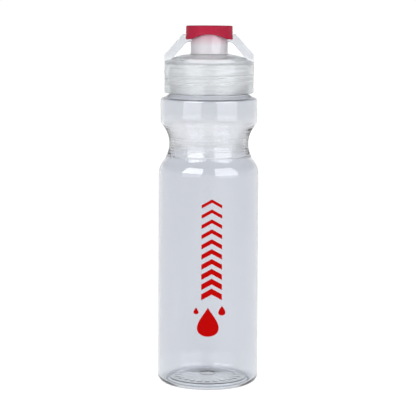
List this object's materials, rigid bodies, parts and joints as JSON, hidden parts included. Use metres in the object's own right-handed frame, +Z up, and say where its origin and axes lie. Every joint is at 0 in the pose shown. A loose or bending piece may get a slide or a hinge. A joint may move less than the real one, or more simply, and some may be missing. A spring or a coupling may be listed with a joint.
{
  "type": "water bottle",
  "caption": "Clear bicycle cage bottle with a gripped waist, a frosted screw lid with finger arms and a red push-pull drinking cap.",
  "frame": {"origin": "centre of the base, on the surface that the bottle stands on", "axes": "+Z up along the bottle's axis; the print faces -Y; the finger arms lie towards +X and -X"},
  "size_m": [0.0738, 0.0738, 0.2607],
  "materials": {
    "clear_plastic": "clear blow-moulded plastic, glossy, faintly cool grey, with a one-colour screen print",
    "frosted_plastic": "translucent frosted polypropylene, satin",
    "milky_plastic": "milky polypropylene, satin",
    "red_plastic": "translucent red polyethylene, satin gloss",
    "seal_silicone": "pale translucent silicone rubber, matte"
  },
  "bodies": {
    "bottle": {"bottle_body": "clear_plastic"},
    "seal": {"lid_seal": "seal_silicone"},
    "lid": {"lid": "frosted_plastic", "valve_seat": "milky_plastic"},
    "cap": {"pull_cap": "red_plastic"}
  },
  "joints": [
    {"name": "lid_rise", "type": "slide", "parent": "bottle", "child": "seal", "axis": [0, 0, 1], "range_m": [0, 0.0198]},
    {"name": "lid_turn", "type": "hinge", "parent": "seal", "child": "lid", "pos_m": [0, 0, 0.2328], "axis": [0, 0, 1], "range_deg": [0, 1620]},
    {"name": "cap_pull", "type": "slide", "parent": "lid", "child": "cap", "axis": [0, 0, 1], "range_m": [0, 0.006]}
  ],
  "couplings": [
    {"joint": "lid_rise", "follows": "lid_turn", "m_per_rad": 0.00070028}
  ]
}
